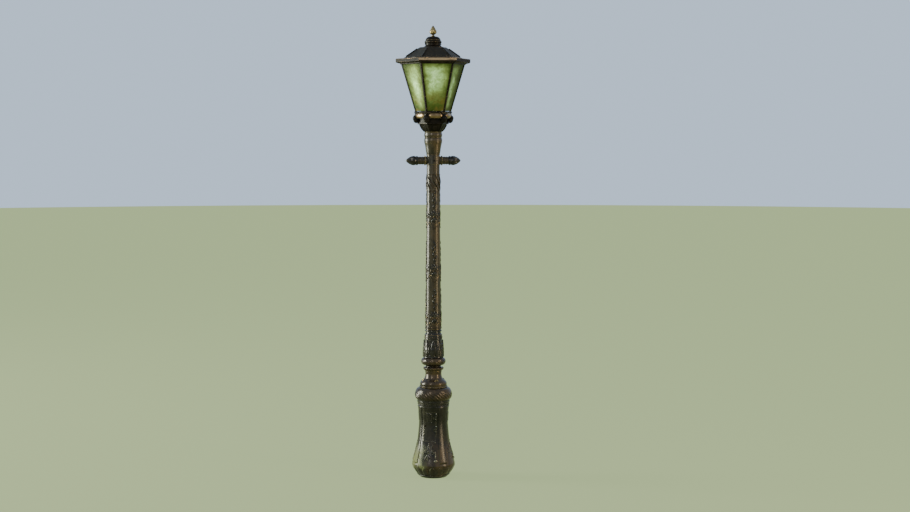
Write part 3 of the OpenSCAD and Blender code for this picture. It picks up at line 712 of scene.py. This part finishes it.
def dress_pedestal():
    """Pilasters, panels, leaves, studs and drops, the twisted collar and the bell's bosses."""
    skin = Skin(["pedestal"])
    torus = Skin(["pedestal_torus"])
    bell = Skin(["bell"])

    def pilaster(azimuth):
        low, high, half = 0.135, 0.650, 11.5
        rise = lambda s, t: 0.0048 * min(1, 9 * (1 - abs(s)), 16 * t, 16 * (1 - t)) ** 0.5
        return patch(skin, lambda s, t: (azimuth + half * s, low + (high - low) * t), rise, 44, 21)

    add_parts("pilasters", [pilaster(a) for a in RIB_AZIMUTHS], "dark_iron")
    add_parts("panel_mouldings", [frame_on(skin, a, 10.5, 0.500, 0.584, 0.0030, 0.006)
                                  for a in PANEL_AZIMUTHS], "dark_iron")
    add_parts("foot_leaves", [leaf(skin, 11.25 + 22.5 * k, 0.030, 0, 0.080, 0.027, 0.0032)
                              for k in range(16)], "dark_iron")
    sprays = []
    for a in [DOOR_AZ] + PANEL_AZIMUTHS:
        sprays += [leaf(skin, a, 0.235, lean, 0.090 - 0.0003 * abs(lean), 0.013, 0.0045,
                        bend=0.4 * lean) for lean in (-66, -44, -22, 0, 22, 44, 66)]
        sprays += [scroll(skin, a + side * 13, 0.242, 0.018, side) for side in (-1, 1)]
        sprays += [leaf(skin, a, 0.225, 180 + lean, 0.060, 0.011, 0.0040) for lean in (-30, 0, 30)]
    add_parts("apron_leaves", sprays, "dark_iron")
    studs, drops = [], []
    for k in range(4):
        azimuth = DOOR_AZ + 22 + 90 * k
        out = level(azimuth)
        studs.append(dome(skin.on(azimuth, 0.322), out, 0.0062, 0.0045, 6, 18))
        drops.append(dome(skin.on(azimuth, 0.163), out, 0.0112, 0.0075, 6, 22))
        drops.append(dome(skin.on(azimuth, 0.163), out, 0.0150, 0.0022, 4, 22))
        drops.append(tube([skin.on(azimuth, 0.184 + 0.066 * i / 12) for i in range(13)],
                          lambda t: 0.0022 + 0.0038 * math.sin(math.pi * (0.25 + 0.75 * t)), 9))
    add_parts("pedestal_studs", studs, "worn_stud", slot="gilt_brass")
    add_parts("pedestal_drops", drops, "worn_stud", slot="gilt_brass")
    add_parts("pedestal_beads", beads(skin, 0.652, 0.0046, 56, -0.0005), "dark_iron")
    add_parts("pedestal_rings", [ring(skin, z, r) for z, r in
                                 ((0.024, 0.0040), (0.636, 0.0032), (0.684, 0.0034))],
              "dark_iron")

    def gadroon(azimuth, t, r):
        wave = math.cos(math.radians(28 * (azimuth + 46 * t)))
        return r - 0.0042 * (0.5 - 0.5 * wave) ** 1.6 * bump_of(t - 0.36, 0.40) ** 0.5

    carved("pedestal_torus_carved", "pedestal_torus", "bronzed_iron", gadroon, 46, 280,
           SHAFT_HOLE, slot="dark_iron")
    bosses = []
    for k in range(4):
        azimuth = -80 + 90 * k
        flat = level(azimuth)
        out = (flat + UP * 0.75).normalized()
        centre = bell.on(azimuth, 0.868, -0.001)
        side, up = flat.cross(UP), out.cross(flat.cross(UP))
        bosses.append(tube([centre + (side * math.cos(a) + up * math.sin(a)) * 0.0125
                            for a in (2 * math.pi * i / 24 for i in range(24))], 0.0032, 8, True))
        bosses.append(dome(centre, out, 0.0070, 0.0050, 5, 18, 0.006))
    add_parts("bell_bosses", bosses, "gilt_brass")
    add_parts("bell_ring", [ring(bell, 0.9460, 0.0026), ring(bell, 0.8175, 0.0028)],
              "bronzed_iron")


def dress_door():
    """The access door's blank plate and its bead."""
    skin = Skin(["base_door"])
    low, high, half = 0.500, 0.584, 9.5
    rise = lambda s, t: 0.0018 * min(1, 8 * (1 - abs(s)), 10 * t, 10 * (1 - t)) ** 0.5
    add_parts("door_plate", [patch(skin, lambda s, t: (DOOR_AZ + half * s, low + (high - low) * t),
                                   rise, 22, 21)], "dark_iron", "base_door")
    add_parts("door_plate_bead", [frame_on(skin, DOOR_AZ, half, low, high, 0.0028, 0.006)],
              "dark_iron", "base_door")
    centre = (low + high) / 2
    out = level(DOOR_AZ)
    add_parts("door_plate_screws", [dome(skin.on(DOOR_AZ + 7.2 * x, centre + 0.032 * y), out,
                                         0.0030, 0.0038, 5, 14)
                                    for x in (-1, 1) for y in (-1, 1)], "dark_iron", "base_door")


# ---- Column ----

MOTIF_AZIMUTHS = [-88 + 90 * k for k in range(4)]
MOTIF_LEVELS = [1.430, 1.850, 2.325]


def motif_leaves(skin, azimuth, height):
    """A palmette, and leaves up both sides of a stem that runs towards the next one."""
    parts = [leaf(skin, azimuth, height + 0.004, lean, 0.058, 0.011, 0.0065)
             for lean in (-60, -30, 0, 30, 60)]
    parts += [leaf(skin, azimuth, height - 0.012, 180 + lean, 0.046, 0.010, 0.0055)
              for lean in (-36, 0, 36)]
    for i in range(7):
        t = 0.10 + 0.13 * i
        side = 1 if i % 2 else -1
        parts.append(leaf(skin, azimuth + 7 * math.sin(9 * t), height + 0.052 + 0.200 * t,
                          side * 48, 0.040 - 0.010 * t, 0.0100, 0.0060, bend=-side * 30, rows=8,
                          columns=5))
    return parts


def motif_scrolls(skin, azimuth, height):
    """The stem, a scroll at each side of the palmette, and crescents that hang below it."""
    parts = [scroll(skin, azimuth + side * 17, height - 0.002, 0.0185, side, thick=0.0042)
             for side in (-1, 1)]
    stem = [skin.on(azimuth + 7 * math.sin(9 * t), height + 0.052 + 0.200 * t, 0.0008)
            for t in (i / 20 for i in range(21))]
    parts.append(tube(stem, lambda t: 0.0034 * (1.1 - 0.6 * t), 6))
    for reach, drop, thick in ((42, 0.062, 0.0040), (28, 0.034, 0.0030)):
        crescent = [skin.on(azimuth + reach * x, height - 0.040 - drop * (1 - x * x), 0.0010)
                    for x in (i / 12 - 1 for i in range(25))]
        parts.append(tube(crescent, lambda t: thick * (0.35 + 0.65 * math.sin(math.pi * t)), 7))
    return parts


def dress_column():
    """Neck, sleeve, shaft, capital and ladder bar."""
    neck = Skin(["neck_ring"])
    sleeve = Skin(["shaft_sleeve"])
    shaft = Skin(["shaft"])
    capital = Skin(["capital"])
    neck_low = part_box("neck_ring")[0].z

    def lobes(azimuth, t, r):
        wave = math.cos(math.radians(18 * (azimuth + 70 * t)))
        return r - 0.0024 * (0.5 - 0.5 * wave) ** 1.6 * bump_of(t - 0.685, 0.27) ** 0.5

    carved("neck_ring_carved", "neck_ring", "bronzed_iron", lobes, 44, 216, SHAFT_HOLE)
    add_parts("neck_flange_leaves", [leaf(neck, 15 + 30 * k, neck_low + 0.004, 0, 0.024, 0.016,
                                          0.0035, curl=0.004, rows=7) for k in range(12)],
              "bronzed_iron")

    low, high = (corner.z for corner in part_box("shaft_sleeve"))
    tall = [leaf(sleeve, -98 + 45 * k, low + 0.006, 0, 0.150, 0.029, 0.0060, curl=0.005, rows=18,
                 columns=9) for k in range(8)]
    short = [leaf(sleeve, -98 + 22.5 + 45 * k, low + 0.006, 0, 0.100, 0.022, 0.0042, curl=0.004,
                  rows=14, columns=7) for k in range(8)]
    add_parts("sleeve_leaves", tall, "dark_iron")
    add_parts("sleeve_short_leaves", short, "dark_iron")
    add_parts("sleeve_beads", beads(sleeve, low + 0.178, 0.0042, 44, -0.0006), "bronzed_iron")
    add_parts("sleeve_rings", [ring(sleeve, low + 0.200, 0.0030),
                               ring(sleeve, high - 0.0035, 0.0034)], "bronzed_iron")

    for index, height in enumerate(MOTIF_LEVELS):
        for word, make, look in (("leaves", motif_leaves, "dark_iron"),
                                 ("scrolls", motif_scrolls, "bronzed_iron")):
            parts = [part for azimuth in MOTIF_AZIMUTHS for part in make(shaft, azimuth, height)]
            add_parts(f"shaft_{word}_{index + 1}", parts, look, slot="dark_iron")

    rope_low, rope_high, strands = 2.550, 2.690, 9
    rope = []
    for k in range(strands):
        start = 360 * k / strands
        path = [shaft.on(start - 78 * t, rope_low + (rope_high - rope_low) * t, 0.0010)
                for t in (i / 20 for i in range(21))]
        rope.append(tube(path, lambda t: 0.0078 * (0.35 + 0.65 * math.sin(math.pi * t)), 10))
    add_parts("shaft_rope_band", rope, "bronzed_iron", slot="dark_iron")
    add_parts("shaft_rings", [ring(shaft, z, 0.0042) for z in
                              (rope_low - 0.006, rope_high + 0.006, 1.330, 1.342)],
              "bronzed_iron")

    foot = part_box("capital")[0].z
    add_parts("capital_rings", [ring(capital, foot + z, r) for z, r in
                                ((0.004, 0.0036), (0.104, 0.0026), (0.152, 0.0024))],
              "bronzed_iron")

    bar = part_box("ladder_bar")
    centre = (bar[0].z + bar[1].z) / 2
    for side, word in ((-1, "left"), (1, "right")):
        node = "ladder_bar_knob_" + word
        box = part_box(node)
        near, far = sorted((abs(box[0].x), abs(box[1].x)))
        skin = Skin([node], (0, 0, centre), (side, 0, 0))

        def bud(azimuth, t, r):
            wave = math.cos(math.radians(10 * azimuth))
            return r - 0.0030 * (0.5 - 0.5 * wave) * bump_of(t - 0.62, 0.40) ** 0.6

        carved(node + "_carved", node, "dark_iron", bud, 60, 120, NO_HOLE, skin=skin,
               span=(near, far))
    bar_skin = Skin(["ladder_bar"], (0, 0, centre), (1, 0, 0))
    add_parts("ladder_bar_rings", [ring(bar_skin, x, 0.0032, steps=40)
                                   for x in (-0.118, -0.098, 0.098, 0.118)], "bronzed_iron")
    add_parts("ladder_bar_collar_beads", [part for x in (-0.0745, 0.0745)
                                          for part in beads(bar_skin, x, 0.0034, 20)],
              "gilt_brass")


# ---- Lantern ----

def dress_lantern():
    """Cradle, gallery, ribs, cornice, roof, vent and finial."""
    cradle = Skin(["lantern_cradle"])
    low, high = (corner.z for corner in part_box("lantern_cradle"))
    ribs = [tube([cradle.on(60 * k, low + 0.003 + (high - low - 0.014) * i / 14, -0.001)
                  for i in range(15)], 0.0052, 8) for k in range(6)]
    add_parts("cradle_ribs", ribs, "black_iron", slot="dark_iron")
    petals = [leaf(cradle, 30 + 60 * k, low + 0.006, 0, 0.048, 0.024, 0.0040) for k in range(6)]
    add_parts("cradle_petals", petals, "black_iron", slot="dark_iron")

    low, high = (corner.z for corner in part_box("gallery_ring"))
    gallery_corner = 0.168
    flat = gallery_corner * math.cos(math.radians(30))
    for k in range(6):
        out = level(30 + 60 * k)
        cushion = bolster(out * (flat - 0.003) + UP * (low + 0.068), out, 0.062, 0.0225, 0.0150)
        add_mesh(f"gallery_cushion_{k + 1}", *cushion, "rubbed_copper", slot="bronzed_iron")
    balls = []
    for k in range(6):
        out = level(60 * k)
        balls.append(bolster(out * 0.1555 + UP * (low + 0.046), out, 0.0265, 0.0285, 0.0260))
    add_parts("gallery_corner_balls", balls, "black_iron", slot="bronzed_iron")
    add_parts("gallery_rings", [six_sided_roll(0.1655, low + z, 0.0030)
                                for z in (0.0900, 0.0470)], "bronzed_iron")

    rivets = []
    foot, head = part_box("rib_set")
    pane_lean, count = math.radians(14.45), 8
    sill_corner, flare = 0.162, 0.122
    for k in range(6):
        corner = 60 * k
        for turn in (-1, 1):
            face = math.radians(corner + 30 * turn)
            if round(math.sin(face), 3) == 1:    # the glazed door covers this face
                continue
            out = Vector((math.cos(face) * math.cos(pane_lean),
                          math.sin(face) * math.cos(pane_lean), -math.sin(pane_lean)))
            along_face = level(corner + 120 * turn)
            for i in range(count):
                t = (i + 0.5) / count
                radius = sill_corner + flare * t
                point = Vector((radius * math.cos(math.radians(corner)),
                                radius * math.sin(math.radians(corner)),
                                foot.z + (head.z - foot.z) * t))
                rivets.append(dome(point + along_face * 0.0072, out, 0.0027, 0.0020, 4, 10))
    add_parts("rib_rivets", rivets, "bronzed_iron")

    low, high = (corner.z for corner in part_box("cornice"))
    add_parts("cornice_roll", [six_sided_roll(0.3250, high - 0.0070, 0.0066, 10)],
              "rubbed_copper", slot="bronzed_iron")
    add_parts("cornice_lower_beads", [six_sided_roll(0.3275, low + 0.0105, 0.0030)],
              "black_iron", slot="bronzed_iron")
    low, high = (corner.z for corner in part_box("roof"))
    add_parts("roof_eaves_roll", [six_sided_roll(0.2520, low + 0.0060, 0.0048),
                                  six_sided_roll(0.1170, high - 0.0030, 0.0038)], "bronzed_iron")
    roof = Skin(["roof"])
    rivets = []
    for k in range(6):
        middle = 30 + 60 * k
        out = (0.3 * math.cos(math.radians(middle)), 0.3 * math.sin(math.radians(middle)), 1)
        for x in (-0.085, -0.0425, 0, 0.0425, 0.085):
            azimuth = middle + math.degrees(math.atan2(x, 0.200))
            rivets.append(dome(roof.on(azimuth, low + 0.0185), out, 0.0042, 0.0030, 4, 10))
    add_parts("roof_rivets", rivets, "bronzed_iron")

    collar = Skin(["vent_collar"])
    low, high = (corner.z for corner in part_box("vent_collar"))
    add_parts("vent_beads", beads(collar, high - 0.0095, 0.0032, 40, -0.0022), "bronzed_iron")
    add_parts("vent_ring", [ring(Skin(["vent_dome"]), high + 0.0085, 0.0022)], "bronzed_iron")

    low, high = (corner.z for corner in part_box("finial"))

    def bud(azimuth, t, r):
        wave = math.cos(math.radians(6 * (azimuth + 30 * t)))
        return r - 0.0042 * (0.5 - 0.5 * wave) * bump_of(t - 0.45, 0.32) ** 0.7

    carved("finial_carved", "finial", "gilt_brass", bud, 70, 120, NO_HOLE)
    finial = Skin(["finial"])
    add_parts("finial_tip", [dome(UP * (high - 0.0125), UP, 0.0102, 0.0118, 6, 18, 0.004)],
              "black_iron", slot="gilt_brass")
    add_parts("finial_leaves", [leaf(finial, 30 + 60 * k, low + 0.014, 0, 0.028, 0.0095, 0.0028,
                                     rows=9) for k in range(6)], "gilt_brass")


add_camera()
add_stage()
paint_cad()
dress_pedestal()
dress_door()
dress_column()
dress_lantern()
